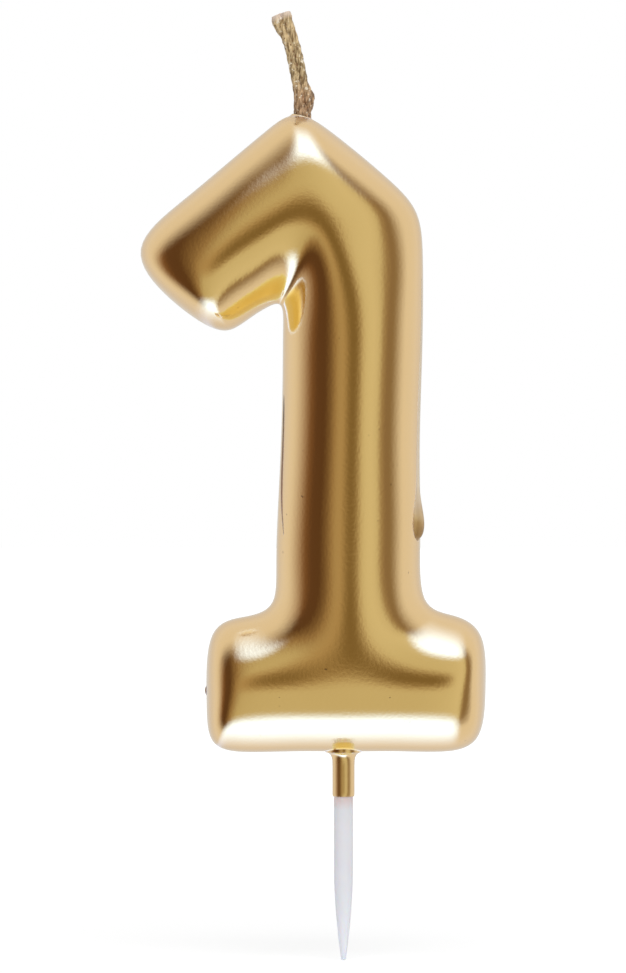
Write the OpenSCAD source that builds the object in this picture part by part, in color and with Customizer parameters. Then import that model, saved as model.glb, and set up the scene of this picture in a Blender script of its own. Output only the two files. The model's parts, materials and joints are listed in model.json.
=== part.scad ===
// Number candle: a cast wax figure 1 under a film of gold lacquer, with a plaited wick and a plastic pick.
// The number stands in the XZ plane, its front faces -Y, and the pick runs along Z.
// The origin is on the pick where its bare stretch begins, which is where the top of the cake comes to.

/* [Number] */
// Height of the number, from its underside to the top of its head
number_h = 70; // [60:1:90]
// Depth of the number from front to back
number_d = 13.5; // [11:0.5:18]
// Fullness of the rounded section, where 2 is an ellipse and more is boxier
fullness = 2.3; // [2:0.1:3]

/* [Base] */
// Width of the base
base_w = 30.7; // [28:0.1:40]
// Height of the base
base_h = 15.2; // [12:0.1:20]
// How far the middle of the base lies to the right of the pick
base_shift = 0.35; // [-2:0.05:2]
// How far in from each end of the base its full depth is reached
base_end = 4.5; // [3:0.1:6]
// Radius of the lower corners of the base
base_low_r = 3.2; // [1:0.1:4.5]
// Radius of the upper corners of the base
base_top_r = 3.6; // [1:0.1:4.5]

/* [Stem] */
// Width of the stem just above the base
stem_foot_w = 15.9; // [12:0.1:20]
// Width of the stem just below the head
stem_top_w = 15.25; // [12:0.05:19]
// How far the foot of the stem lies to the right of the pick
stem_foot_shift = 0.55; // [-1:0.05:2]
// How far the top of the stem lies to the right of the pick
stem_top_shift = 1.1; // [-1:0.05:3]
// Radius of the hollows where the stem meets the base
foot_r = 3.4; // [1:0.1:4]

/* [Head] */
// Slope of the two top edges, in degrees
head_slope = 39.5; // [32:0.5:45]
// How far the top of the head lies to the left of the pick
apex_shift = 5; // [2:0.1:8]
// Radius of the top of the head
apex_r = 4.6; // [2:0.1:6]
// Radius of the shoulder above the stem
shoulder_r = 6; // [2:0.1:8]

/* [Arm] */
// How far the corner of the arm's tip lies to the left of the pick
arm_reach = 24.3; // [20:0.1:28]
// Width of the cut end of the arm
arm_end_w = 14.7; // [12:0.1:17]
// Slope of the cut end of the arm, in degrees
arm_end_slope = 42.7; // [38:0.1:50]
// Slope of the arm's lower edge, in degrees
arm_under_slope = 35.3; // [30:0.1:40]
// How far in from the end of the arm its full depth is reached
arm_end = 4.5; // [3:0.1:6]
// Radius of the upper corner of the arm's end
arm_tip_r = 3.9; // [1:0.1:6]
// Radius of the lower corner of the arm's end
arm_toe_r = 4.2; // [1:0.1:5]
// Radius of the hollow between the arm and the stem
crotch_r = 1.5; // [0.5:0.1:3]

/* [Gold coat] */
// Thickness of the lacquer film on the wax
film = 0.25; // [0.15:0.05:0.6]
// Thickness of the lacquer on the pick
sleeve = 0.2; // [0.1:0.02:0.4]
// Length of pick that the lacquer covers below the number
sleeve_l = 4.8; // [3:0.1:8]
// Height over which the lower edge of the lacquer thins out
feather_l = 0.25; // [0.1:0.05:1]
// Radius of the ring of lacquer where the pick enters the base
collar_r = 0.9; // [0.4:0.1:1.5]
// Radius of the lacquer drop on the right flank
drop_r = 1.1; // [0.8:0.1:1.6]
// Length of the drop, with the run that feeds it
drop_l = 5.5; // [3:0.1:12]
// How far the drop stands out from the flank
drop_out = 0.7; // [0.3:0.1:0.8]
// Height of the drop above the underside of the number
drop_h = 24; // [20:0.5:35]

/* [Wick] */
// Diameter of one strand of the plait
strand_d = 0.64; // [0.4:0.02:0.9]
// Length of one turn of the plait, in strand diameters
plait_turn = 10; // [10:0.5:16]
// Height of the wick above the head
wick_out = 11.6; // [6:0.1:20]
// How far the tip of the wick leans to the left
wick_lean = 2.05; // [0:0.05:4]
// How far the wick leaves the head to the right of its highest point
wick_shift = 0.4; // [-1:0.05:1]
// Turn of the flat plait over its free length, in degrees
wick_turn = 180; // [0:5:270]
// Wax left between the end of the wick and the root of the pick
wick_rest = 2; // [1:0.1:5]

/* [Pick] */
// Diameter of the bare pick
pick_d = 2.1; // [1.6:0.1:3]
// Length of the bare stretch of full diameter
pick_bare_l = 8.5; // [6:0.1:20]
// Length of the pointed end
pick_point_l = 9.5; // [5:0.1:15]
// Diameter of the blunt point
pick_point_d = 0.6; // [0.4:0.05:1]
// Depth of the root in the wax
root_l = 12; // [9:0.1:14]
// Diameter at the top of the root, which is drafted to leave its mould
root_d = 1.9; // [1.4:0.05:2.1]
// Number of holding rings on the root
root_rings = 3; // [1:1:4]
// Spacing of the holding rings
ring_pitch = 2.6; // [2.4:0.1:2.7]
// Height of a holding ring above the root
ring_out = 0.3; // [0.2:0.05:0.6]

/* [Fits] */
// Room between the wax and the film, and between the pick and what holds it
seat_gap = 0.02; // [0.01:0.01:0.05]
// Room round the plait in its bore
wick_gap = 0.06; // [0.03:0.01:0.15]

/* [Hidden] */
$fn = 48;

// Steps of a rounded corner, rings from the rim to the crown, and sides and rings of a strand
arc_steps = 4;
crown_steps = 6;
strand_sides = 6;
rings_per_turn = 11;
point_steps = 6;

// Shape of the point of the pick and of the wick's lean: 1 is straight, more starts slower
point_power = 1.35;
lean_power = 1.8;
// Half width and half depth of the plait, in strand diameters, at which no two strands touch
plait_spread = 1.25;
plait_lift = 0.9;

gold = [0.80, 0.66, 0.42];
cream = [0.95, 0.92, 0.84];
cotton = [0.74, 0.62, 0.42];
white = [0.93, 0.93, 0.95];

// Small vector helpers
function unit(v) = v / norm(v);
function mix(a, b, f) = a + (b - a) * f;
function side(v) = [-v.y, v.x];

// Corners of the outline, as [x, z] above the underside of the number, before they are rounded
base_left = base_shift - base_w / 2;
base_right = base_shift + base_w / 2;
foot_left = [stem_foot_shift - stem_foot_w / 2, base_h];
foot_right = [stem_foot_shift + stem_foot_w / 2, base_h];
apex = [-apex_shift, number_h + apex_r * (1 / cos(head_slope) - 1)];
function under_head(x) = apex.y - abs(x - apex.x) * tan(head_slope);
arm_tip = [-arm_reach, under_head(-arm_reach)];
arm_toe = arm_tip + arm_end_w * [cos(arm_end_slope), -sin(arm_end_slope)];
stem_left = stem_top_shift - stem_top_w / 2;
stem_right = stem_top_shift + stem_top_w / 2;
crotch = [stem_left, arm_toe.y + (stem_left - arm_toe.x) * tan(arm_under_slope)];
shoulder = [stem_right, under_head(stem_right)];
neck_left = mix(crotch, foot_left, 0.1);
neck_right = mix([stem_right, crotch.y], foot_right, 0.1);

// The crown line: nodes where the number has its full depth, and the links between them with their steps
slope_normal = [sin(head_slope), cos(head_slope)];
head_room = (apex - crotch) * slope_normal;
base_mid = base_h / 2;
crown_nodes = [
    [base_left + base_end, base_mid],
    [stem_foot_shift, base_mid],
    [base_right - base_end, base_mid],
    [stem_top_shift, neck_left.y],
    crotch + slope_normal * head_room / 2,
    mix(arm_tip, arm_toe, 0.5) + side(unit(arm_toe - arm_tip)) * arm_end
];
crown_links = [[0, 1, 4], [1, 2, 4], [1, 3, 8], [3, 4, 2], [4, 5, 5]];

// Outline corners in order round the number: place, radius and the crown node that they face
corners = [
    [[base_left, 0], base_low_r, 0],
    [[stem_foot_shift, 0], 0, 1],
    [[base_right, 0], base_low_r, 2],
    [[base_right, base_h], base_top_r, 2],
    [foot_right, foot_r, 1],
    [neck_right, 0, 3],
    [shoulder, shoulder_r, 4],
    [apex, apex_r, 4],
    [arm_tip, arm_tip_r, 5],
    [arm_toe, arm_toe_r, 5],
    [crotch, crotch_r, 4],
    [neck_left, 0, 3],
    [foot_left, foot_r, 1],
    [[base_left, base_h], base_top_r, 0]
];
// Largest share of an edge that one rounded corner may take
corner_share = 0.47;

function corner_at(i) = corners[(i + len(corners)) % len(corners)];
function rounded(before, at, after, r) =
    let (
        u = unit(before - at),
        v = unit(after - at),
        half = acos(u * v) / 2,
        room = corner_share * min(norm(before - at), norm(after - at)),
        reach = min(r / tan(half), room),
        radius = reach * tan(half),
        centre = at + unit(u + v) * radius / sin(half),
        from = at + u * reach - centre,
        to = at + v * reach - centre,
        sweep = 180 - 2 * half
    )
    [for (k = [0:arc_steps])
        centre + (from * sin(sweep * (1 - k / arc_steps)) + to * sin(sweep * k / arc_steps)) / sin(sweep)];
arcs = [for (i = [0:len(corners) - 1])
    let (c = corner_at(i))
    c[1] == 0 ? [c[0]] : rounded(corner_at(i - 1)[0], c[0], corner_at(i + 1)[0], c[1])];

// Points of the crown line: its nodes first, then the points inside each link
crown_points = concat(crown_nodes, [for (l = crown_links)
    for (k = [1:l[2] - 1])
        mix(crown_nodes[l[0]], crown_nodes[l[1]], k / l[2])]);
function inner_before(i) = i == 0 ? len(crown_nodes) : inner_before(i - 1) + crown_links[i - 1][2] - 1;
function link_of(a, b) = [for (i = [0:len(crown_links) - 1])
    if (min(a, b) == crown_links[i][0] && max(a, b) == crown_links[i][1]) i][0];
function crown_index(a, b, k) =
    let (i = link_of(a, b))
    inner_before(i) + (a < b ? k : crown_links[i][2] - k) - 1;

// The rim: every outline point with the index of the crown point that it faces
rim = [for (i = [0:len(corners) - 1])
    let (
        here = corner_at(i)[2],
        next = corner_at(i + 1)[2],
        steps = here == next ? 1 : crown_links[link_of(here, next)][2],
        start = arcs[i][len(arcs[i]) - 1],
        end = arcs[(i + 1) % len(arcs)][0]
    )
    each concat(
        [for (p = arcs[i]) [p, here]],
        steps < 2 ? [] : [for (k = [1:steps - 1]) [mix(start, end, k / steps), crown_index(here, next, k)]]
    )];

// The swollen number, with its whole surface moved inwards by an inset
module swollen_number(inset) {
    count = len(rim);
    power = 2 / fullness;
    half_d = number_d / 2 - inset;
    edge = [for (q = rim) q[0] + unit(crown_points[q[1]] - q[0]) * inset];
    function ring(k, way) =
        let (angle = 90 * k / crown_steps, in = 1 - pow(cos(angle), power), h = pow(sin(angle), power))
        [for (i = [0:count - 1])
            let (p = mix(edge[i], crown_points[rim[i][1]], in))
            [p.x, way * half_d * h, p.y]];
    rings = crown_steps - 1;
    points = concat(
        ring(0, 0),
        [for (way = [-1, 1]) for (k = [1:rings]) each ring(k, way)],
        [for (way = [-1, 1]) for (p = crown_points) [p.x, way * half_d, p.y]]
    );
    function at(half, k, i) = k == 0 ? i % count : (1 + half * rings + k - 1) * count + i % count;
    function crown(half, i) = (1 + 2 * rings) * count + half * len(crown_points) + rim[i % count][1];
    function turned(half, f) = half == 0 ? [f[2], f[1], f[0]] : f;
    walls = [for (half = [0, 1]) for (k = [0:rings - 1]) for (i = [0:count - 1]) each [
        turned(half, [at(half, k, i), at(half, k, i + 1), at(half, k + 1, i + 1)]),
        turned(half, [at(half, k, i), at(half, k + 1, i + 1), at(half, k + 1, i)])
    ]];
    tops = [for (half = [0, 1]) for (i = [0:count - 1]) each concat(
        [turned(half, [at(half, rings, i), at(half, rings, i + 1), crown(half, i + 1)])],
        crown(half, i) == crown(half, i + 1) ? [] :
            [turned(half, [at(half, rings, i), crown(half, i + 1), crown(half, i)])]
    )];
    translate([0, 0, sleeve_l])
        polyhedron(points, concat(walls, tops));
}

// The pick: radius and height of its profile from the point up, grown by a clearance
pick_r = pick_d / 2;
point_r = pick_point_d / 2;
root_top = sleeve_l + root_l;
root_start = sleeve_l + (root_l - root_rings * ring_pitch) / 2;
function root_r(z) = mix(pick_r, root_d / 2, z / root_top);
function point_profile() = [for (k = [0:point_steps])
    let (f = k / point_steps)
    [mix(pick_r, point_r, pow(1 - f, point_power)), -pick_bare_l - pick_point_l * (1 - f)]];
function root_profile(grow) = concat(
    [[root_r(0) + grow, 0]],
    [for (k = [0:root_rings - 1])
        let (low = root_start + k * ring_pitch, high = low + ring_pitch / 2)
        each [
            [root_r(low) + grow, low - grow],
            [root_r(high) + ring_out + grow, high - grow],
            [root_r(high) + grow, high + grow]
        ]],
    [[root_r(root_top) + grow, root_top + grow], [0, root_top + grow]]
);
module root_room() {
    rotate_extrude()
        polygon(concat([[0, 0]], root_profile(seat_gap)));
}

// The line of the wick: its sideways place at a height above the origin
head_top = sleeve_l + number_h;
wick_foot_x = wick_shift - apex_shift;
wick_low = root_top + wick_rest;
wick_top = head_top + wick_out;
function wick_free(z) = max(0, (z - head_top) / wick_out);
function wick_x(z) = z < head_top ?
    mix(0, wick_foot_x, (z - wick_low) / (head_top - wick_low)) :
    wick_foot_x - wick_lean * pow(wick_free(z), lean_power);
plait_pitch = plait_turn * strand_d;
plait_half = plait_spread * strand_d;
plait_deep = plait_lift * strand_d;
plait_reach = max([for (swing = [0:5:90]) norm([plait_half * sin(swing), plait_deep * sin(2 * swing)])]);
bore_r = plait_reach + strand_d / 2 + wick_gap;
module wick_room() {
    run = [wick_foot_x, 0, head_top - wick_low];
    translate([0, 0, wick_low - strand_d / 2])
        rotate([0, atan2(run.x, run.z), 0])
            cylinder(h = norm(run) + 2 * bore_r, r = bore_r);
}

// One strand of the plait weaves from side to side once, and from front to back twice, in each turn
function strand_at(phase, z) =
    let (
        swing = 360 * (z - wick_low) / plait_pitch + phase,
        turn = wick_turn * wick_free(z),
        across = plait_half * sin(swing),
        deep = plait_deep * sin(2 * swing)
    )
    [wick_x(z) + across * cos(turn) - deep * sin(turn), across * sin(turn) + deep * cos(turn), z];
module strand(phase) {
    count = ceil((wick_top - wick_low) / plait_pitch * rings_per_turn);
    nudge = plait_pitch / rings_per_turn / 4;
    points = [for (k = [0:count])
        let (
            z = mix(wick_low, wick_top, k / count),
            along = unit(strand_at(phase, z + nudge) - strand_at(phase, z - nudge)),
            out = unit(cross([0, 1, 0], along)),
            up = cross(along, out)
        )
        for (s = [0:strand_sides - 1])
            let (a = 360 * s / strand_sides)
            strand_at(phase, z) + strand_d / 2 * (out * cos(a) + up * sin(a))];
    function at(k, s) = k * strand_sides + s % strand_sides;
    walls = [for (k = [0:count - 1]) for (s = [0:strand_sides - 1]) each [
        [at(k, s), at(k + 1, s + 1), at(k, s + 1)],
        [at(k, s), at(k + 1, s), at(k + 1, s + 1)]
    ]];
    ends = [for (s = [1:strand_sides - 2]) each [
        [at(0, 0), at(0, s), at(0, s + 1)],
        [at(count, 0), at(count, s + 1), at(count, s)]
    ]];
    polyhedron(points, concat(walls, ends));
}

// Lacquer on the pick, with its thin lower edge and the ring where it meets the base
module pick_sleeve() {
    low_r = pick_r + sleeve;
    collar_steps = 4;
    rotate_extrude()
        polygon(concat(
            [[0, 0], [pick_r + 2 * seat_gap, 0], [low_r, feather_l]],
            [for (k = [0:collar_steps])
                let (a = 90 * k / collar_steps)
                [low_r + seat_gap + collar_r * (1 - cos(a)), sleeve_l - collar_r * (1 - sin(a))]],
            [[low_r + seat_gap + collar_r, sleeve_l + collar_r], [0, sleeve_l + collar_r]]
        ));
}

// The drop at the end of a run of lacquer, on the right flank of the stem
module flank_drop() {
    flank = mix(foot_right.x, stem_right, (drop_h - base_h) / (crotch.y - base_h));
    belly_steps = 4;
    translate([flank + drop_out - drop_r, 0, sleeve_l + drop_h])
        rotate_extrude()
            polygon(concat(
                [for (k = [0:belly_steps])
                    let (a = -90 + 120 * k / belly_steps)
                    drop_r * [cos(a), sin(a)]],
                [[0, drop_l - drop_r]]
            ));
}

module wax_body() {
    color(cream)
        difference() {
            swollen_number(film + seat_gap);
            root_room();
            wick_room();
        }
}

module gold_coat() {
    color(gold)
        difference() {
            union() {
                swollen_number(0);
                pick_sleeve();
                flank_drop();
            }
            swollen_number(film);
            translate([0, 0, -seat_gap])
                root_room();
            wick_room();
        }
}

module pick() {
    color(white)
        rotate_extrude()
            polygon(concat([[0, -pick_bare_l - pick_point_l]], point_profile(), root_profile(0)));
}

module wick_strand(number) {
    color(cotton)
        strand(120 * (number - 1));
}

wax_body();
gold_coat();
pick();
wick_strand(1);  // wick_strand_1
wick_strand(2);  // wick_strand_2
wick_strand(3);  // wick_strand_3
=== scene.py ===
# %% [markdown]
# This lesson dresses a gold number candle, a swollen figure one on a white pick, around its packed
# solid model. The model is loaded first and stays where it is: every new piece is made in the same
# place and at the same size, in metres. The box round the bare model is kept, and the floor is set
# just under it.

# %% Load the frame
import json
import math

import bmesh
import bpy
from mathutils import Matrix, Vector

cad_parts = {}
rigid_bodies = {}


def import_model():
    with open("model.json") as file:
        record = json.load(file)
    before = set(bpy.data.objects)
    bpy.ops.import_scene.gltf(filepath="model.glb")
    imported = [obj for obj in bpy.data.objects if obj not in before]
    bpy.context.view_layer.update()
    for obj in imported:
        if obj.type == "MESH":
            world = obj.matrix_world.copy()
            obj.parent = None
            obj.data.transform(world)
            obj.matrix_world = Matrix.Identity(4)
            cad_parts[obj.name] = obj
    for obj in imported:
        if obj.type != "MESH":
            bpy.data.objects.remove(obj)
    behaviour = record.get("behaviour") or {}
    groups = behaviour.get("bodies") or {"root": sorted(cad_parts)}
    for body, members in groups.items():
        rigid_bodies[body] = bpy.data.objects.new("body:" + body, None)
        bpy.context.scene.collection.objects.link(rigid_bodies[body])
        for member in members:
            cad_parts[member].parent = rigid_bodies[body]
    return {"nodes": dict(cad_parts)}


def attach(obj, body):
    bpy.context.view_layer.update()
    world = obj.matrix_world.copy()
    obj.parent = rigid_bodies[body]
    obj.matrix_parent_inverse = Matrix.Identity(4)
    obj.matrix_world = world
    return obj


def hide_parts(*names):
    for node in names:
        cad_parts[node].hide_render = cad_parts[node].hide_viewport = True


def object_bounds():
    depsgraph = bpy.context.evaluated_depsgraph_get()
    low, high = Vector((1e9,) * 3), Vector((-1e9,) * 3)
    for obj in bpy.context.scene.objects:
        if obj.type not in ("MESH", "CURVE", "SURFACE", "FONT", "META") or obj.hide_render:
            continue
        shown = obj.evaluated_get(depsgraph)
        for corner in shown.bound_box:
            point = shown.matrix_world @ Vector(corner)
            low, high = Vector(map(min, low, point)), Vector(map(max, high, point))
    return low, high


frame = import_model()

cad_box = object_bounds()
MM = 0.001
print("frame nodes:", sorted(frame["nodes"]))

# %% [markdown]
# The camera comes first, because every later choice is judged through it. The picture is taken
# straight from the front with a long lens, so the candle shows almost no perspective. One pixel of
# the picture is about a ninth of a millimetre on the candle's middle plane, and the lens follows
# from that and from how far away the camera stands.

# %% Camera
PICTURE_TALL = 973
MM_PER_PIXEL = 0.11006
CAMERA_AWAY = 600 * MM
VIEW_CENTRE = (-3.357 * MM, 34.12 * MM)

lens = bpy.data.cameras.new("camera")
camera = bpy.data.objects.new("camera", lens)
bpy.context.scene.collection.objects.link(camera)
bpy.context.scene.camera = camera
camera.location = (VIEW_CENTRE[0], -CAMERA_AWAY, VIEW_CENTRE[1])
camera.rotation_euler = (math.radians(90), 0, 0)
lens.lens = lens.sensor_width * CAMERA_AWAY / (PICTURE_TALL * MM_PER_PIXEL * MM)
lens.clip_start = 10 * MM
bpy.context.scene.view_settings.view_transform = "Standard"
print(f"camera lens {lens.lens:.1f} mm")

# %% [markdown]
# Shader maths soon becomes a tangle of boxes and wires. A small class that stands for one socket
# lets the sums be written as sums, and one method adds any other node with its settings first and
# its sockets after. Everything below that has nodes, the studio as well as the finishes, uses it.

# %% A socket that does sums
class Wire:
    """One socket of a node tree. Plus, minus, times and so on add Math nodes."""

    def __init__(self, tree, socket=None):
        self.tree = tree
        self.socket = socket

    def node(self, kind, settings=None, inputs=None, output=0):
        """Adds a node: its settings first, then the values or wires of its sockets."""
        made = self.tree.nodes.new(kind)
        for name, value in (settings or {}).items():
            if name == "stops":
                set_stops(made.color_ramp, value)
            else:
                setattr(made, name, value)
        for name, value in (inputs or {}).items():
            if isinstance(value, Wire):
                self.tree.links.new(value.socket, made.inputs[name])
            else:
                made.inputs[name].default_value = value
        return Wire(self.tree, made.outputs[output] if made.outputs else None)

    def other(self, name):
        """Another output of the same node."""
        return Wire(self.tree, self.socket.node.outputs[name])

    def sums(self, operation, first, second=0.0):
        return self.node("ShaderNodeMath", {"operation": operation}, {0: first, 1: second})

    def __add__(self, other):
        return self.sums("ADD", self, other)

    __radd__ = __add__

    def __sub__(self, other):
        return self.sums("SUBTRACT", self, other)

    def __rsub__(self, other):
        return self.sums("SUBTRACT", other, self)

    def __mul__(self, other):
        return self.sums("MULTIPLY", self, other)

    __rmul__ = __mul__

    def __truediv__(self, other):
        return self.sums("DIVIDE", self, other)

    def rise(self, low, high):
        """A soft step from 0 at low to 1 at high."""
        ends = {"Value": self, "From Min": low, "From Max": high}
        return self.node("ShaderNodeMapRange", {"interpolation_type": "SMOOTHSTEP"}, ends)

    def blend(self, first, second):
        """A colour that goes from first to second as this value goes from 0 to 1."""
        settings = {"data_type": "RGBA", "clamp_factor": True}
        return self.node("ShaderNodeMix", settings, {0: self, 6: first, 7: second}, output=2)


def set_stops(ramp, stops):
    """Gives a colour ramp its stops, as pairs of a place and a colour."""
    while len(ramp.elements) > 1:
        ramp.elements.remove(ramp.elements[-1])
    ramp.elements[0].position = stops[0][0]
    ramp.elements[0].color = stops[0][1]
    for place, colour in stops[1:]:
        ramp.elements.new(place).color = colour


def grey(level):
    return (level, level, level, 1.0)


# %% [markdown]
# A polished metal shows what stands round it, so the studio is half of its looks. Round the real
# candle there is a white sweep, a white table below, a big soft box overhead, a dark warm room to the
# left of the camera and a dark stand to the right of it. Each could be a lit panel, but a world that
# gives a colour for every direction has no edges that other views could catch. A direction is turned
# into the slope of the metal that would mirror it to the front, because that slope is what can be
# read from the candle: how far it leans to the right, and how far up.

# %% The slope that mirrors a direction
AMBIENT = 0.45
NEVER_ZERO = 0.001

world = bpy.data.worlds.new("studio")
bpy.context.scene.world = world
world.use_nodes = True
world.node_tree.nodes.clear()
studio = Wire(world.node_tree)
towards = studio.node("ShaderNodeTexCoord", output="Generated")
split = studio.node("ShaderNodeSeparateXYZ", inputs={0: towards})
halfway = studio.sums("SQRT", 2.0 - 2.0 * split.other("Y")) + NEVER_ZERO
across = split / halfway
upward = split.other("Z") / halfway


def length_of(first, second):
    return studio.sums("SQRT", first * first + second * second)


print("slopes run from 0, towards the camera, to 1, straight away from it")

# %% [markdown]
# The far part comes first. A white sweep fills all that the candle's outer slopes mirror. Inside it
# is the room behind the camera, which the front mirrors as upright strips: brown on the left, pale in
# the middle and dark again on the right. A colour ramp holds the strips and blends each into the
# next, because lacquer shows no sharp edges. Separate panels would need as many lamps as strips.

# %% Room and sweep
SWEEP = (0.86, 0.88, 0.93, 1.0)
SWEEP_BEHIND = (0.71, 0.68, 0.63, 1.0)
ROOM = [
    (-0.62, (0.30, 0.18, 0.10, 1.0)),
    (-0.52, (0.20, 0.11, 0.055, 1.0)),
    (-0.45, (0.13, 0.07, 0.035, 1.0)),
    (-0.34, (0.12, 0.065, 0.03, 1.0)),
    (-0.27, (0.21, 0.14, 0.07, 1.0)),
    (-0.20, (0.36, 0.27, 0.15, 1.0)),
    (-0.10, (0.60, 0.58, 0.40, 1.0)),
    (0.05, (0.68, 0.68, 0.50, 1.0)),
    (0.27, (0.76, 0.77, 0.60, 1.0)),
    (0.34, (0.70, 0.70, 0.53, 1.0)),
    (0.40, (0.40, 0.33, 0.21, 1.0)),
    (0.46, (0.29, 0.22, 0.14, 1.0)),
    (0.60, (0.30, 0.24, 0.15, 1.0)),
]
SIDE_EDGE = (-0.1, 0.1)
STRIP_BEND = 2.75
BEND_FROM = 0.1
ROOM_SQUAT = 1.08
ROOM_LOW = 0.05
ROOM_LIFT_RIGHT = 0.08
LEFT_EDGE = (0.52, 0.82)
RIGHT_EDGE = (0.50, 0.72)
BEHIND_EDGE = (0.85, 1.0)

side = across.rise(*SIDE_EDGE)
bent = upward - BEND_FROM
bend = studio.sums("MAXIMUM", across, 0.0) * STRIP_BEND * bent * bent
strips = {"stops": [(0.5 + place / 2, colour) for place, colour in ROOM]}
room = studio.node("ShaderNodeValToRGB", strips, {0: 0.5 + 0.5 * (across + bend)})
off_axis = length_of(across, ROOM_SQUAT * (upward + ROOM_LOW - ROOM_LIFT_RIGHT * side))
far_left = off_axis.rise(*LEFT_EDGE)
far_right = off_axis.rise(*RIGHT_EDGE)
far = far_left + side * (far_right - far_left)
sweep = length_of(across, upward).rise(*BEHIND_EDGE).blend(SWEEP, SWEEP_BEHIND)
with_room = far.blend(room, sweep)
print("room of", len(ROOM), "upright strips inside the white sweep")

# %% [markdown]
# Three things stand nearer. The camera is a soft dark round in the middle, and its lens is darker
# still. The table is the white band along the foot, and the soft box makes the white patches on the
# head and on the foot's shoulders. Both are brighter than white, as lamps are, and bluish, because
# gold takes blue away. Each is a product of soft steps, one for each of its edges.

# %% Camera, table and soft box
BODY = (0.46, 0.36, 0.20, 1.0)
BODY_PLACE = (-0.03, 0.03)
BODY_SIZE = (0.2, 0.15)
BODY_EDGE = (0.3, 1.2)
BODY_SHARE = 0.9
LENS = (0.23, 0.17, 0.07, 1.0)
LENS_PLACE = (0.02, 0.03)
LENS_EDGE = (0.02, 0.14)
TABLE = (1.4, 2.1, 4.0, 1.0)
TABLE_HIGH = (0.345, 0.53)
TABLE_LOW = (0.6, 0.93)
TABLE_RIGHT = (0.08, 0.25)
TABLE_LEFT = (-0.19, 0.16)
TABLE_CORNER = (-0.14, -0.48)
TABLE_SLANT = 0.95
BOX = (1.5, 2.2, 4.2, 1.0)
BOX_LEFT = (-0.27, -0.06)
BOX_RIGHT = (0.12, 0.40)
BOX_LOW = (0.30, 0.45)
BOX_HIGH = (0.5, 0.8)

body_across = (across - BODY_PLACE[0]) / BODY_SIZE[0]
body_upward = (upward - BODY_PLACE[1]) / BODY_SIZE[1]
body = 1 - length_of(body_across, body_upward).rise(*BODY_EDGE)
lens_dot = 1 - length_of(across - LENS_PLACE[0], upward - LENS_PLACE[1]).rise(*LENS_EDGE)
with_camera = lens_dot.blend((BODY_SHARE * body).blend(with_room, BODY), LENS)
downward = 0 - upward
slanted = across - TABLE_CORNER[0] - TABLE_SLANT * (upward - TABLE_CORNER[1])
table = downward.rise(*TABLE_HIGH) * (1 - downward.rise(*TABLE_LOW))
table = table * (1 - across.rise(*TABLE_RIGHT)) * slanted.rise(*TABLE_LEFT)
with_table = table.blend(with_camera, TABLE)
box = across.rise(*BOX_LEFT) * (1 - across.rise(*BOX_RIGHT))
box = box * upward.rise(*BOX_LOW) * (1 - upward.rise(*BOX_HIGH))
surround = box.blend(with_table, BOX)
print("table of tone", TABLE[:3], "and soft box of tone", BOX[:3])

# %% [markdown]
# In its hollows the gold mirrors gold. Such light was mirrored twice or three times, and it comes from
# close to the candle, where a world has nothing: it is far away on all sides. White cards beside the
# candle could send it, but other views would show them. The Light Path node counts the mirrorings
# instead, and each count has tones of its own, chosen by the direction that the light comes from.

# %% Light between the arm and the foot
BESIDE = (1.16, 1.75, 3.6, 1.0)
BEFORE = (1.25, 1.6, 1.4, 1.0)
BELOW = (0.92, 1.08, 0.68, 1.0)
BEHIND = (0.9, 1.1, 0.95, 1.0)
LEFT = (0.5, 0.42, 0.15, 1.0)
THIRD = (1.3, 2.6, 9.0, 1.0)
BACK_TURN = (-0.15, 0.2)
BESIDE_DOWN = (-0.5, -0.1)
UNDER_DOWN = (0.5, 0.7)
BELOW_DOWN = (0.65, 0.85)
LEFT_OUT = (0.5, 0.72)
LEFT_FRONT = (0.28, 0.42)
TWICE = (2.4, 2.6)
THRICE = (3.4, 3.6)

rays = studio.node("ShaderNodeLightPath", output="Is Glossy Ray")
down = 0 - split.other("Z")
back = split.other("Y").rise(*BACK_TURN)
beside = studio.sums("MAXIMUM", down.rise(*BESIDE_DOWN), back).blend(surround, BESIDE)
under = back.blend(down.rise(*BELOW_DOWN).blend(BEFORE, BELOW), BEHIND)
left = (0 - split).rise(*LEFT_OUT) * (0 - split.other("Y")).rise(*LEFT_FRONT)
below = left.blend(down.rise(*UNDER_DOWN).blend(beside, under), LEFT)
twice = rays.other("Ray Depth").rise(*TWICE)
thrice = rays.other("Ray Depth").rise(*THRICE)
shown = studio.sums("MAXIMUM", rays.other("Is Camera Ray"), rays.other("Is Transmission Ray"))
lit = rays.blend(grey(AMBIENT), twice.blend(surround, thrice.blend(below, THIRD)))
backdrop = studio.node("ShaderNodeBackground", inputs={"Color": shown.blend(lit, grey(1.0))})
studio.node("ShaderNodeOutputWorld", inputs={"Surface": backdrop})
print("world: white to the camera, the studio to the metal")

# %% [markdown]
# The light of the soft box comes from a real lamp, which shades the pick and the wick and throws the
# shadow. It hangs above and in front of the candle. The metal doesn't mirror it, because it already
# mirrors the soft box of the surround.

# %% The soft box overhead
BOX_AIM = Vector((0.0, 0.0, 40 * MM))
BOX_AWAY = 500 * MM
BOX_UP = math.radians(57)
BOX_SIZE = (400 * MM, 370 * MM)
BOX_TURN = math.radians(7)
LAMP_GLOW = 3.6

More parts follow.
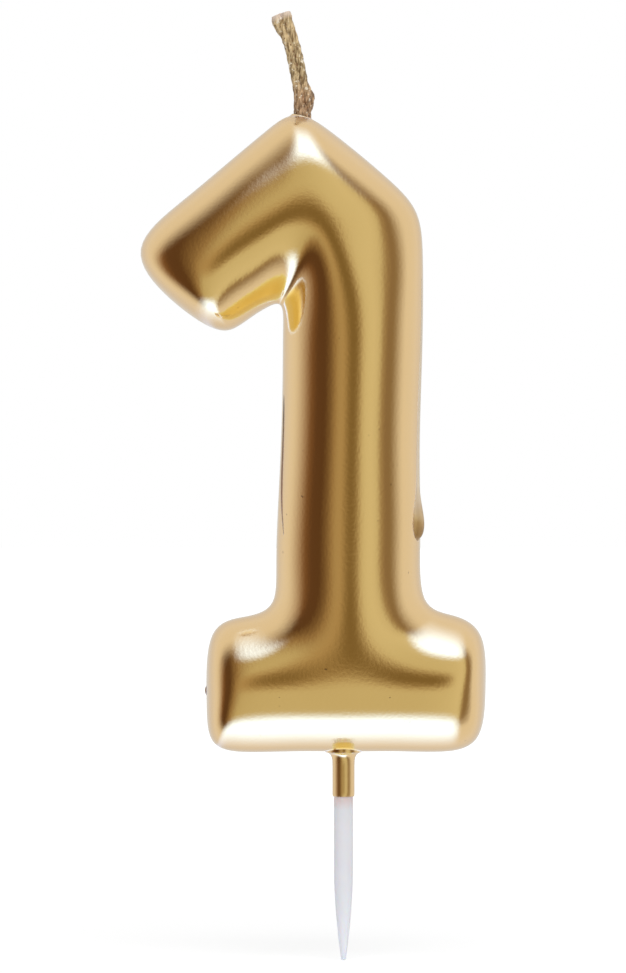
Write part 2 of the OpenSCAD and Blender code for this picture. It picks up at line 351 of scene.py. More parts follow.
box_lamp = bpy.data.lights.new("soft_box", "AREA")
box_lamp.shape = "RECTANGLE"
box_lamp.size, box_lamp.size_y = BOX_SIZE
box_lamp.energy = LAMP_GLOW * math.pi * BOX_SIZE[0] * BOX_SIZE[1]
soft_box = bpy.data.objects.new("soft_box", box_lamp)
bpy.context.scene.collection.objects.link(soft_box)
above = BOX_AWAY * math.sin(BOX_UP)
aside = Vector((above * math.sin(BOX_TURN), -BOX_AWAY * math.cos(BOX_UP), above * math.cos(BOX_TURN)))
soft_box.location = BOX_AIM + aside
soft_box.rotation_euler = (math.radians(90) - BOX_UP, BOX_TURN, 0)
soft_box.visible_camera = False
soft_box.visible_glossy = False
print(f"soft box of {box_lamp.energy:.2f} W")

# %% [markdown]
# The floor is a plain pale sheet that the tip of the pick just touches. Close to the candle it is
# an ordinary matt surface and keeps the candle's shadow. Further out it turns to plain white for
# the camera, as a sweep of paper under bright lamps does.

# %% Floor
FLOOR_GAP = 0.05 * MM
FLOOR_SIZE = 8.0
FLECK_SCALE = 900.0
PAPER = (grey(0.84), grey(0.88))
SEEN_PAPER = grey(0.3)
NEAR_GLOW = 0.78
WHITE_EDGE = (60 * MM, 160 * MM)
floor_z = cad_box[0].z - FLOOR_GAP


def fresh_start():
    """Leaves edit mode and drops every selection, so an operator meets only its own piece."""
    if bpy.context.object and bpy.context.object.mode != "OBJECT":
        bpy.ops.object.mode_set(mode="OBJECT")
    bpy.ops.object.select_all(action="DESELECT")


def new_finish(name):
    """An empty material and a Wire to build it with."""
    finish = bpy.data.materials.new(name)
    finish.use_nodes = True
    finish.node_tree.nodes.clear()
    return finish, Wire(finish.node_tree)


def floor_paper():
    paper, start = new_finish("floor_paper")
    place = start.node("ShaderNodeTexCoord", output="Object")
    out = start.node("ShaderNodeVectorMath", {"operation": "LENGTH"}, {0: place}, output="Value")
    fleck = start.node("ShaderNodeTexNoise", inputs={"Vector": place, "Scale": FLECK_SCALE})
    seen = start.node("ShaderNodeLightPath", output="Is Camera Ray")
    pale = fleck.blend(*PAPER)
    matt = start.node("ShaderNodeBsdfDiffuse", inputs={"Color": seen.blend(pale, SEEN_PAPER)})
    glow = seen * (NEAR_GLOW + (1 - NEAR_GLOW) * out.rise(*WHITE_EDGE))
    white = start.node("ShaderNodeEmission", inputs={"Color": glow})
    surface = start.node("ShaderNodeAddShader", inputs={0: matt, 1: white})
    start.node("ShaderNodeOutputMaterial", inputs={"Surface": surface})
    return paper


fresh_start()
bpy.ops.mesh.primitive_plane_add(size=FLOOR_SIZE, location=(0, 0, floor_z))
floor = bpy.context.object
floor.name = "floor"
floor.data.materials.append(floor_paper())
floor.visible_glossy = False
print(f"floor at {floor_z / MM:.2f} mm")

# %% [markdown]
# The gold number is the main piece: a figure one that looks blown up like a balloon, cast in wax
# and dipped in gold lacquer. It could be carved from a block, but then every round has to be cut.
# A coarse cage that a Subdivision Surface smooths is quicker, and it gives the unbroken curves that
# a mirror finish needs. The cage starts as flat sheets of squares: one for the foot, one for the
# stem, one for the arm and two small ones that fill the corner of the head. Each row below lists
# the corners of one row of squares, in millimetres to the right and up, from the outline inwards.

# %% Corners of the number
FOOT = [
    [(-15.1, 4.9), (-9.9, 4.7), (-5.0, 4.9), (0.6, 4.8), (6.0, 4.9), (10.0, 4.7), (15.5, 5.1)],
    [(-15.1, 10.2), (-12.2, 12.4), (-5.2, 12.4), (0.6, 12.4), (6.4, 12.4), (12.8, 12.4), (15.7, 12.1)],
    [(-15.3, 19.4), (-10.5, 19.9), (-7.3, 20.9), (0.6, 20.5), (8.3, 20.6), (12.4, 20.3), (15.8, 18.4)],
]
CROTCH, HEART, CHEEK = (-6.7, 54.4), (-3.2, 64.2), (8.9, 59.8)
STEM = [
    FOOT[2][2:5],
    [(-7.7, 26.0), (0.6, 27.0), (8.7, 28.6)],
    [(-7.0, 37.4), (0.7, 37.6), (8.4, 38.0)],
    [(-6.8, 46.6), (0.9, 47.2), (8.8, 48.0)],
    [(-6.8, 51.4), (1.0, 54.6), (8.9, 54.4)],
    [CROTCH, HEART, CHEEK],
]
SHOULDER, BROW, RIDGE, POINT = (8.7, 64.4), (5.7, 67.6), (-0.6, 72.8), (-5.2, 76.2)
ARM = [
    [POINT, HEART, CROTCH],
    [(-8.6, 73.4), (-7.2, 62.9), (-8.3, 53.8)],
    [(-12.4, 70.2), (-11.2, 60.5), (-9.9, 52.8)],
    [(-17.4, 65.9), (-16.0, 57.0), (-11.6, 51.5)],
    [(-24.5, 60.4), (-19.1, 54.3), (-13.7, 50.7)],
]
HEAD_FRONT = [[HEART, CHEEK], [BROW, SHOULDER]]
HEAD_TOP = [[HEART, BROW], [POINT, RIDGE]]
SHEETS = {"foot": FOOT, "stem": STEM, "arm": ARM, "head_front": HEAD_FRONT, "head_top": HEAD_TOP}
print(len(SHEETS), "sheets of squares")

# %% Lay the sheets out flat
SHEET_WELD = 0.01 * MM


def sheet_of_squares(name, rows):
    """A grid whose corners are dragged to the places in rows, on the candle's middle plane."""
    fresh_start()
    bpy.ops.mesh.primitive_grid_add(
        x_subdivisions=len(rows[0]) - 1, y_subdivisions=len(rows) - 1, size=MM)
    piece = bpy.context.object
    piece.name = name
    places = [corner for row in rows for corner in row]
    for vertex, (x, z) in zip(piece.data.vertices, places, strict=True):
        vertex.co = (x * MM, 0.0, z * MM)
    return piece


def weld(pieces, name):
    """Joins pieces into one and merges the corners that lie on each other."""
    fresh_start()
    for piece in pieces:
        piece.select_set(True)
    bpy.context.view_layer.objects.active = pieces[0]
    bpy.ops.object.join()
    whole = bpy.context.object
    whole.name = name
    bpy.ops.object.mode_set(mode="EDIT")
    bpy.ops.mesh.select_all(action="SELECT")
    bpy.ops.mesh.remove_doubles(threshold=SHEET_WELD)
    bpy.ops.mesh.normals_make_consistent(inside=False)
    bpy.ops.object.mode_set(mode="OBJECT")
    return whole


number = weld([sheet_of_squares(name, rows) for name, rows in SHEETS.items()], "number")
print("flat number:", len(number.data.vertices), "corners,", len(number.data.polygons), "squares")

# %% [markdown]
# Now the flat number is blown up. The whole sheet moves a third of the way forward, an inset makes
# a second row just inside the outline and that row comes further forward, and the points along the
# middle come out furthest. Those three steps are the corners of a ten-sided round, a little larger
# than the round that the smoothing makes of it. Four listed pulls then set parts of the row: the
# ends of the foot and of the arm become blunter and the foot's shoulders come down. The three hollow
# corners get a soft crease. A mirrored copy makes the back, and a bridge closes the rim.

# %% Blow the number up
HALF_DEEP = 6.75 * MM
TURN = 2 * math.pi / 10
CROWN_OUT = HALF_DEEP * 3 / (2 + math.cos(TURN))
ROW_OUT = CROWN_OUT * math.sin(1.5 * TURN)
RIM_OUT = CROWN_OUT * math.sin(0.5 * TURN)
ROW_IN = 2.95 * MM
ROW_SHARE = 0.383
WIDE = 1.2
PULLS = [
    ([row[0] for row in FOOT], (-1.8, 0, 0)),
    ([row[-1] for row in FOOT], (1.8, 0, 0)),
    (ARM[-1], (-1.0, 0, -1.13)),
    (FOOT[2][:2] + FOOT[2][5:], (0, -0.35, -0.9)),
]
CROTCH_CREASE = 0.25
CROTCH_INNER = (-3.4, 60.6)
CROTCH_SUNK = 0.5 * MM
FOOT_CREASE = 0.15


def take(piece):
    """Makes one piece the only selected and the active one."""
    fresh_start()
    piece.select_set(True)
    bpy.context.view_layer.objects.active = piece


def finish_with(piece, kind, **settings):
    """Adds a modifier, sets it and applies it."""
    take(piece)
    modifier = piece.modifiers.new(kind.lower(), kind)
    for name, value in settings.items():
        setattr(modifier, name, value)
    bpy.ops.object.modifier_apply(modifier=modifier.name)


def slide_row(piece, share):
    """Slides the selected region's border in, where the number is wide, towards the middle points."""
    cage = bmesh.from_edit_mesh(piece.data)
    inner = {v for v in cage.verts if v.select}
    border = {v for v in inner if any(edge.other_vert(v) not in inner for edge in v.link_edges)}
    for vertex in border:
        rim = next(e.other_vert(vertex) for e in vertex.link_edges if e.other_vert(vertex) not in inner)
        faces = [face for face in vertex.link_faces if face.select]
        middles = {v for face in faces for v in face.verts} - border
        middle = min(middles, key=lambda v: (v.co - vertex.co).length)
        target = rim.co.lerp(middle.co, share)
        if (target - rim.co).length > WIDE * (vertex.co - rim.co).length:
            vertex.co = target
    bmesh.update_edit_mesh(piece.data)
    return len(border)


def nearest_corner(cage, place):
    """The corner of the cage that is nearest to a place across and up."""
    return min(cage.verts, key=lambda v: math.dist((v.co.x / MM, v.co.z / MM), place))


def row_edge(cage, corner):
    """The edge that runs inwards from one corner of the outline to the inset row."""
    rim = nearest_corner(cage, corner)
    return max(rim.link_edges, key=lambda edge: abs(edge.other_vert(rim).co.y - rim.co.y)), rim


def pull_row(piece, corners, way):
    """Moves the part of the inset row that belongs to some corners, by millimetres."""
    bpy.ops.mesh.select_all(action="DESELECT")
    cage = bmesh.from_edit_mesh(piece.data)
    for corner in corners:
        edge, rim = row_edge(cage, corner)
        edge.other_vert(rim).select_set(True)
    bmesh.update_edit_mesh(piece.data)
    bpy.ops.transform.translate(value=Vector(way) * MM)


def set_valley(piece, corner, sharpness, inner=None, sunk=0.0):
    """Sharpens the edge that runs inwards from a hollow corner, and may move its inner end."""
    bpy.ops.mesh.select_all(action="DESELECT")
    cage = bmesh.from_edit_mesh(piece.data)
    edge, rim = row_edge(cage, corner)
    if inner:
        place = edge.other_vert(rim).co
        edge.other_vert(rim).co = (inner[0] * MM, place.y + sunk, inner[1] * MM)
    edge.select_set(True)
    bmesh.update_edit_mesh(piece.data)
    bpy.ops.transform.edge_crease(value=sharpness)


take(number)
bpy.ops.object.mode_set(mode="EDIT")
bpy.ops.mesh.select_all(action="SELECT")
if number.data.polygons[0].normal.y > 0:
    bpy.ops.mesh.flip_normals()
bpy.ops.transform.translate(value=(0, -RIM_OUT, 0))
bpy.ops.mesh.inset(thickness=ROW_IN, depth=0, use_even_offset=True)
print("inset row of", slide_row(number, ROW_SHARE), "corners")
bpy.ops.transform.translate(value=(0, RIM_OUT - ROW_OUT, 0))
bpy.ops.mesh.select_less()
bpy.ops.transform.translate(value=(0, ROW_OUT - CROWN_OUT, 0))
for corners, way in PULLS:
    pull_row(number, corners, way)
set_valley(number, CROTCH, CROTCH_CREASE, inner=CROTCH_INNER, sunk=CROTCH_SUNK)
set_valley(number, FOOT[2][2], FOOT_CREASE)
set_valley(number, FOOT[2][4], FOOT_CREASE)
bpy.ops.object.mode_set(mode="OBJECT")
finish_with(number, "MIRROR", use_axis=(False, True, False), use_mirror_merge=False)
take(number)
bpy.ops.object.mode_set(mode="EDIT")
bpy.ops.mesh.select_mode(type="EDGE")
bpy.ops.mesh.select_all(action="DESELECT")
bpy.ops.mesh.select_non_manifold()
bpy.ops.mesh.bridge_edge_loops()
bpy.ops.mesh.select_all(action="SELECT")
bpy.ops.mesh.normals_make_consistent(inside=False)
bpy.ops.object.mode_set(mode="OBJECT")
print("cage:", len(number.data.vertices), "corners,", len(number.data.polygons), "faces")

# %% Smooth the cage
SMOOTHINGS = 3

finish_with(number, "SUBSURF", levels=SMOOTHINGS, render_levels=SMOOTHINGS)
bpy.ops.object.shade_smooth()
reaches = [max(abs(v.co[axis]) for v in number.data.vertices) / MM for axis in range(3)]
print("number reaches", [round(reach, 2) for reach in reaches], "mm")
print("number has", len(number.data.polygons), "faces")

# %% [markdown]
# The pick is a slim moulded pin. Its root sits in the wax and is held there by three rings with a
# flat top, its shank is round and it ends in a blunt point. A turned piece like this could be built
# from stacked cylinders, but one profile spun round the upright axis has no hidden joints. The
# profile starts as a single vertex that is extruded from point to point.

# %% The pick
PICK_R = 1.05
POINT_R = 0.3
ROOT_TOP = 16.8
ROOT_TOP_R = 0.95
RINGS = 3
RING_OUT = 0.3
RING_PITCH = 2.6
FIRST_RING = 6.9
POINT_LOW = -18.0
POINT_HIGH = -8.5
POINT_STEPS = 10
POINT_CURVE = 1.6
NOSE_TURNS = (0, 0.4, 0.8, 1.2)
NOSE_FLAT = 0.8
NOSE_TALL = 0.3
SPIN_STEPS = 48
SPUN_SHARP = math.radians(40)
WELD = 0.0005 * MM


def spun(name, profile):
    """A profile of radius and height, in millimetres, spun round the upright axis."""
    fresh_start()
    bpy.ops.mesh.primitive_plane_add(size=MM)
    piece = bpy.context.object
    piece.name = name
    bpy.ops.object.mode_set(mode="EDIT")
    bpy.ops.mesh.select_mode(type="VERT")
    bpy.ops.mesh.merge(type="CENTER")
    bpy.ops.transform.translate(value=(profile[0][0] * MM, 0, profile[0][1] * MM))
    for (r, z), (next_r, next_z) in zip(profile, profile[1:]):
        step = ((next_r - r) * MM, 0, (next_z - z) * MM)
        bpy.ops.mesh.extrude_vertices_move(TRANSFORM_OT_translate={"value": step})
    bpy.ops.mesh.select_all(action="SELECT")
    bpy.ops.mesh.spin(steps=SPIN_STEPS, angle=2 * math.pi, center=(0, 0, 0), axis=(0, 0, 1))
    bpy.ops.mesh.select_all(action="SELECT")
    bpy.ops.mesh.remove_doubles(threshold=WELD)
    bpy.ops.mesh.normals_make_consistent(inside=False)
    bpy.ops.object.mode_set(mode="OBJECT")
    bpy.ops.object.shade_smooth_by_angle(angle=SPUN_SHARP)
    return piece


def root_radius(z):
    return PICK_R + (ROOT_TOP_R - PICK_R) * z / ROOT_TOP


def root_profile(grow):
    """The root from the lacquer's edge up to its flat top, grown by a clearance."""
    profile = [(root_radius(0) + grow, 0)]
    for ring in range(RINGS):
        low = FIRST_RING + ring * RING_PITCH
        high = low + RING_PITCH / 2
        profile.append((root_radius(low) + grow, low - grow))
        profile.append((root_radius(high) + RING_OUT + grow, high - grow))
        profile.append((root_radius(high) + grow, high + grow))
    return profile + [(root_radius(ROOT_TOP) + grow, ROOT_TOP + grow), (0, ROOT_TOP + grow)]


def point_profile():
    """The point: a small round nose, then sides that swell to the full radius."""
    nose = []
    for turn in NOSE_TURNS:
        nose.append((POINT_R * math.sin(turn), POINT_LOW + POINT_R * NOSE_FLAT * (1 - math.cos(turn))))
    low = POINT_LOW + NOSE_TALL
    for step in range(1, POINT_STEPS + 1):
        share = step / POINT_STEPS
        r = PICK_R + (POINT_R - PICK_R) * (1 - share) ** POINT_CURVE
        nose.append((r, low + (POINT_HIGH - low) * share))
    return nose


pick = spun("white_pick", point_profile() + root_profile(0))
print("pick with", len(pick.data.polygons), "faces")

# %% [markdown]
# The gold is a thin film over the wax, so the number becomes a shell: Solidify grows a wall inwards
# from the smooth skin. The wax inside is a copy of the same skin, moved in by a little more than the
# wall. Both are pierced where the wick and the pick go through, with cutters that a Boolean takes
# away. Deleting faces instead would leave ragged square holes.

# %% Film and wax
FILM = 0.25 * MM
SEAT_GAP = 0.02 * MM
WICK_LOW = 18.8
WICK_EXIT = 74.8
WICK_FOOT_X = -4.6
BORE_R = 1.234 * MM
BORE_SIDES = 32
BORE_PAST = 3
BORE_BELOW = 0.3
SHANK_ROOM = [(0, -1), (1.1, -1), (1.1, 7), (0, 7)]


def copy_of(piece, name):
    """A second piece with a mesh of its own."""
    twin = piece.copy()
    twin.data = piece.data.copy()
    twin.name = name
    bpy.context.scene.collection.objects.link(twin)
    return twin


def combine(piece, other, operation):
    """Cuts another piece away from this one or joins it to it, and drops the other."""
    finish_with(piece, "BOOLEAN", object=other, operation=operation, solver="EXACT",
                material_mode="TRANSFER")
    bpy.data.objects.remove(other)


def wick_bore():
    """A cutter along the wick, from the end of the wick to above the head."""
    rise = WICK_EXIT - WICK_LOW
    tilt = math.atan2(WICK_FOOT_X, rise)
    length = math.hypot(WICK_FOOT_X, rise) + BORE_PAST
    aside = math.sin(tilt) * length / 2
    middle = WICK_LOW - BORE_BELOW + math.cos(tilt) * length / 2
    fresh_start()
    bpy.ops.mesh.primitive_cylinder_add(
        vertices=BORE_SIDES, radius=BORE_R, depth=length * MM,
        location=(aside * MM, 0, middle * MM), rotation=(0, tilt, 0))
    bpy.ops.object.transform_apply()
    return bpy.context.object


wax = copy_of(number, "wax_core")
finish_with(wax, "DISPLACE", strength=-(FILM + SEAT_GAP), mid_level=0.0)
combine(wax, wick_bore(), "DIFFERENCE")
combine(wax, spun("root_room", [(0, 0)] + root_profile(SEAT_GAP / MM)), "DIFFERENCE")
film = copy_of(number, "gold_film")
finish_with(film, "SOLIDIFY", thickness=FILM, offset=-1.0, use_even_offset=True)
combine(film, wick_bore(), "DIFFERENCE")
combine(film, spun("shank_room", SHANK_ROOM), "DIFFERENCE")
print("wax with", len(wax.data.polygons), "faces, film with", len(film.data.polygons))

# %% [markdown]
# Wet lacquer leaves its own marks. It climbs the wick and the pick in a small meniscus, it covers
# the top of the pick like a sleeve, a run ends in a hanging drop on the right flank, a thin seam shows
# on the left one and a nib stands out at the foot's left end. Sleeve and lip are spun profiles, and
# the lip leans with the slope of the head. The run, the seam and the nib are curves that lie on the
# skin, with a radius for every point, and become meshes. They could be sculpted, but a curve keeps
# its sizes in view. A Boolean then joins each to the film, so the lacquer stays one closed skin.

# %% Sleeve and lip
SLEEVE_PROFILE = [
    (1.08, 0.0), (1.17, 0.03), (1.21, 0.14), (1.22, 0.5), (1.22, 3.4), (1.24, 4.0), (1.31, 4.35),
    (1.46, 4.62), (1.7, 4.8), (2.0, 4.9), (2.0, 5.6), (1.08, 5.6), (1.08, 0.0),
]
LIP_PROFILE = [
    (1.16, 0.1), (1.22, 0.08), (1.34, -0.06), (1.5, -0.3), (1.66, -0.58), (1.76, -0.9), (1.8, -1.3),
    (1.9, -1.9), (1.9, -3.0), (1.16, -3.0), (1.16, 0.1),
]
LIP_FLAT = 0.92
LIP_LEAN = math.radians(14)
LIP_PLACE = (-4.58 * MM, 0, 74.78 * MM)

combine(film, spun("sleeve", SLEEVE_PROFILE), "UNION")
lip = spun("lip", LIP_PROFILE)
lip.scale.x = LIP_FLAT
lip.rotation_euler.y = LIP_LEAN
lip.location = LIP_PLACE
take(lip)
bpy.ops.object.transform_apply()
combine(film, lip, "UNION")
print("film with sleeve and lip:", len(film.data.polygons), "faces")

# %% Run, drop and seam
RUN = [
    (57.0, -1.6, 0.10, 0.01), (53.0, -1.6, 0.40, 0.06), (46.0, -1.7, 0.50, 0.08), (39.0, -1.7, 0.55, 0.10),
    (35.4, -1.8, 0.60, 0.14), (33.6, -1.8, 0.75, 0.24), (32.4, -1.9, 1.00, 0.42), (31.2, -1.9, 1.22, 0.62),
    (30.2, -1.9, 1.32, 0.74), (29.3, -1.9, 1.24, 0.70), (28.6, -2.0, 0.95, 0.50), (28.2, -2.0, 0.62, 0.26),
    (28.0, -2.0, 0.30, 0.04),
]
SEAM = [
    (44.2, -1.5, 0.10, 0.02), (43.2, -1.6, 0.14, 0.08), (39.0, -1.7, 0.15, 0.10), (35.0, -1.8, 0.17, 0.12),
    (32.0, -2.2, 0.16, 0.10), (29.6, -2.8, 0.14, 0.06), (28.8, -2.9, 0.08, 0.01),
]
NIB = [
    (12.2, -0.5, 0.10, 0.02), (11.9, -0.5, 0.16, 0.16), (11.5, -0.5, 0.16, 0.16), (11.2, -0.5, 0.10, 0.02),
]
WELL_OUTSIDE = 30 * MM


def bead(name, places, side):
    """A bead of lacquer on a flank. Each place has a height, a depth, a radius and how proud it is."""
    route = bpy.data.curves.new(name, "CURVE")
    route.dimensions = "3D"
    route.bevel_depth = MM
    route.bevel_resolution = 4
    route.use_fill_caps = True
    line = route.splines.new("NURBS")
    line.points.add(len(places) - 1)
    line.use_endpoint_u = True
    line.order_u = 3
    line.resolution_u = 6
    for point, (z, y, radius, proud) in zip(line.points, places):
        outside = Vector((side * WELL_OUTSIDE, y * MM, z * MM))
        skin, normal = number.ray_cast(outside, Vector((-side, 0, 0)))[1:3]
        point.co = (skin + normal * (proud - radius) * MM).to_4d()
        point.radius = radius
    piece = bpy.data.objects.new(name, route)
    bpy.context.scene.collection.objects.link(piece)
    take(piece)
    bpy.ops.object.convert(target="MESH")
    bpy.ops.object.mode_set(mode="EDIT")
    bpy.ops.mesh.select_all(action="SELECT")
    bpy.ops.mesh.remove_doubles(threshold=WELD)
    bpy.ops.mesh.normals_make_consistent(inside=False)
    bpy.ops.object.mode_set(mode="OBJECT")
    bpy.ops.object.shade_smooth()
    return piece


run = bead("run", RUN, 1)
seam = bead("seam", SEAM, -1)
nib = bead("nib", NIB, -1)
print("faces of run, seam and nib:", [len(piece.data.polygons) for piece in (run, seam, nib)])

# %% [markdown]
# The wick is cotton, three strands that are plaited inside the wax and lie close together above it,
# where the lacquer has glued them into a stiff stub. A strand could be a bare tube, but real cotton
# shows its yarns. Each strand is a curve with a lobed profile, and the profile turns along the curve
# as spun yarn does. The mesh that comes of it is roughened by a cloud texture, and cut off aslant.

# %% Where the strands run
STRANDS = ("wick_strand_1", "wick_strand_2", "wick_strand_3")
WICK_OUT = 11.6
WICK_LEAN = 2.05
LEAN_CURVE = 1.8
PLAIT_PITCH = 6.4
PLAIT_HALF = 0.8
PLAIT_DEEP = 0.576
PLAIT_END = (72.5, 75.5)
BUNDLE_R = 0.43
BUNDLE_TURN = -7.5
BUNDLE_FROM = 80
BUNDLE_START = (217.5, 97.5, 337.5)
BOWS = {"wick_strand_1": (-0.4, 85.2, 1.2, 0.2), "wick_strand_3": (0.34, 76.9, 1.0, 0.2)}


def soft_step(value, low, high):
    """Rises gently from 0 at low to 1 at high."""
    share = min(1.0, max(0.0, (value - low) / (high - low)))
    return share * share * (3 - 2 * share)


def wick_line(z):
    """How far to the side the middle of the wick is at a height."""
    if z < WICK_EXIT:
        return WICK_FOOT_X * (z - WICK_LOW) / (WICK_EXIT - WICK_LOW)
    return WICK_FOOT_X - WICK_LEAN * ((z - WICK_EXIT) / WICK_OUT) ** LEAN_CURVE


def bow_at(which, z):
    """How far a strand bows to the side at a height, and how much it is swollen there."""
    bow, middle, reach, swell = BOWS.get(STRANDS[which], (0, 0, 1, 0))
    share = math.exp(-((z - middle) / reach) ** 2)
    return bow * share, swell * share


def strand_place(which, z):
    """Where one strand is at a height: in the plait, in the bundle or on the way between them."""
    swing = math.radians(360 * (z - WICK_LOW) / PLAIT_PITCH + 120 * which)
    plait = Vector((PLAIT_HALF * math.sin(swing), PLAIT_DEEP * math.sin(2 * swing), 0))
    turn = math.radians(BUNDLE_START[which] + BUNDLE_TURN * (z - BUNDLE_FROM))
    bundle = Vector((BUNDLE_R * math.cos(turn), BUNDLE_R * math.sin(turn), 0))
    bundle.x += bow_at(which, z)[0]
    return Vector((wick_line(z), 0, z)) + plait.lerp(bundle, soft_step(z, *PLAIT_END))


print(f"the wick's end leans to {wick_line(WICK_EXIT + WICK_OUT):.2f} mm across")

# %% Spin the strands
YARNS = 6
YARN_LOBE = 0.1
YARN_STEPS = 24
YARN_TWIST = math.radians(55)
INNER_R = 0.3
OUTER_R = 0.5
FOOT_SWELL = 0.1
FOOT_REACH = 1.8
ROUTE_TOP = 87.2
STEPS_PER_MM = 3
FIBRE_SIZE = 0.4 * MM
FIBRE_ROUGH = 0.14 * MM
COTTON_SHARP = math.radians(50)
CUT_PLACE = Vector((-6.7, 0, 86.2)) * MM
CUT_WAY = Vector((-0.3, 0, 0.954))


def yarn_profile():
    """A round with shallow lobes, one for each yarn of a strand."""
    outline = bpy.data.curves.new("yarns", "CURVE")
    ring = outline.splines.new("POLY")
    ring.points.add(YARN_STEPS - 1)
    ring.use_cyclic_u = True
    for index, point in enumerate(ring.points):
        turn = 2 * math.pi * index / YARN_STEPS
        out = (1 + YARN_LOBE * math.cos(YARNS * turn)) * MM
        point.co = (out * math.cos(turn), out * math.sin(turn), 0, 1)
    return bpy.data.objects.new("yarns", outline)


def strand_route(which, profile):
    """The curve of one strand, with its radius and its twist at every height."""
    route = bpy.data.curves.new(STRANDS[which], "CURVE")
    route.dimensions = "3D"
    route.bevel_mode = "OBJECT"
    route.bevel_object = profile
    route.use_fill_caps = True
    line = route.splines.new("POLY")
    steps = int((ROUTE_TOP - WICK_LOW) * STEPS_PER_MM)
    line.points.add(steps)
    for step, point in enumerate(line.points):
        z = WICK_LOW + step / STEPS_PER_MM
        point.co = (strand_place(which, z) * MM).to_4d()
        point.radius = INNER_R + (OUTER_R - INNER_R) * soft_step(z, *PLAIT_END) + bow_at(which, z)[1]
        point.radius += FOOT_SWELL * math.exp(-((z - WICK_EXIT) / FOOT_REACH) ** 2)
        point.tilt = YARN_TWIST * (z - WICK_LOW)
    return route


def wick_strand(which, profile):
    """One strand as a mesh, roughened and cut off aslant."""
    piece = bpy.data.objects.new("cotton_" + STRANDS[which][-1], strand_route(which, profile))
    bpy.context.scene.collection.objects.link(piece)
    take(piece)
    bpy.ops.object.convert(target="MESH")
    fibres = bpy.data.textures.new("fibres", "CLOUDS")
    fibres.noise_scale = FIBRE_SIZE
    finish_with(piece, "DISPLACE", texture=fibres, texture_coords="LOCAL", strength=FIBRE_ROUGH)
    take(piece)
    bpy.ops.object.mode_set(mode="EDIT")
    bpy.ops.mesh.select_all(action="SELECT")
    bpy.ops.mesh.bisect(plane_co=CUT_PLACE, plane_no=CUT_WAY, use_fill=True, clear_outer=True)
    bpy.ops.mesh.select_all(action="SELECT")
    bpy.ops.mesh.normals_make_consistent(inside=False)
    bpy.ops.object.mode_set(mode="OBJECT")
    bpy.ops.object.shade_smooth_by_angle(angle=COTTON_SHARP)
    return piece


yarns = yarn_profile()
bpy.context.scene.collection.objects.link(yarns)
cotton = [wick_strand(which, yarns) for which in range(len(STRANDS))]
bpy.data.objects.remove(yarns)
print("strands with", [len(piece.data.polygons) for piece in cotton], "faces")

# %% [markdown]
# The lacquer is a gold pigment in a clear binder. It could be a bare metal, but the binder on top
# shows as a paler edge where the skin turns away, so the shader has a metal under a clear coat. Tiny
# grain and a few specks of dust break up the mirror. Where it gathers, on the sleeve and
# the lip, it is satin. The run, the seam and the nib have dried thick, dull and brown, so they have a
# finish of their own, which the Boolean keeps when it joins them to the film.

# %% Gold lacquer
GOLD = (0.85, 0.575, 0.25, 1.0)
DUST = (0.45, 0.28, 0.12, 1.0)
RUN_TINTS = [
    (0.0, (0.50, 0.32, 0.15, 1.0)), (0.12, (0.38, 0.21, 0.065, 1.0)), (0.28, (0.50, 0.31, 0.12, 1.0)),
    (0.40, (0.62, 0.44, 0.22, 1.0)), (0.58, (0.68, 0.52, 0.34, 1.0)), (0.9, (0.82, 0.68, 0.48, 1.0)),
]
SEAM_TINTS = [
    (0.0, (0.50, 0.36, 0.24, 1.0)), (0.3, (0.40, 0.24, 0.16, 1.0)), (0.7, (0.38, 0.27, 0.18, 1.0)),
    (1.0, (0.22, 0.19, 0.15, 1.0)),
]


GRAIN_SCALE = 3000.0
GRAIN_TALL = 0.008 * MM
DUST_SCALE = 1500.0
DUST_EDGE = (0.78, 0.82)
SLEEVE_EDGE = (3.5 * MM, 5.2 * MM)
LIP_EDGE = (73.6 * MM, 74.4 * MM)
LIP_DULL = 1.6
POLISH = 0.09
GRAIN_ROUGH = 0.04
SATIN_ROUGH = 0.2
DROP_TOP = 35.0
BLOTCH_SCALE = 900.0
BLOTCH_REACH = 2 * MM
JOIN_SHARP = math.radians(30)


def where(start):
    """The place on a piece in its own coordinates, and the height alone."""
    place = start.node("ShaderNodeTexCoord", output="Object")
    return place, start.node("ShaderNodeSeparateXYZ", inputs={0: place}, output="Z")


def noise(start, place, scale, detail):
    return start.node("ShaderNodeTexNoise", inputs={"Vector": place, "Scale": scale, "Detail": detail})


def bump(start, tall, relief):
    return start.node("ShaderNodeBump", inputs={"Strength": 1.0, "Distance": tall, "Height": relief})


def close(start, inputs):
    """Ends a finish with its shader and its output."""
    shine = start.node("ShaderNodeBsdfPrincipled", inputs=inputs)
    start.node("ShaderNodeOutputMaterial", inputs={"Surface": shine})


def gold_lacquer():
    gold, start = new_finish("gold_lacquer")
    place, height = where(start)
    grain = noise(start, place, GRAIN_SCALE, 2.0)
    dust = noise(start, place, DUST_SCALE, 1.0)
    satin = 1 - height.rise(*SLEEVE_EDGE) + LIP_DULL * height.rise(*LIP_EDGE)
    close(start, {
        "Base Color": dust.rise(*DUST_EDGE).blend(GOLD, DUST),
        "Metallic": 1.0,
        "Roughness": POLISH + GRAIN_ROUGH * grain + SATIN_ROUGH * satin,
        "Normal": bump(start, GRAIN_TALL, grain),
        "Coat Weight": 1.0,
        "Coat Roughness": 0.15,
        "Coat IOR": 1.5,
    })
    return gold


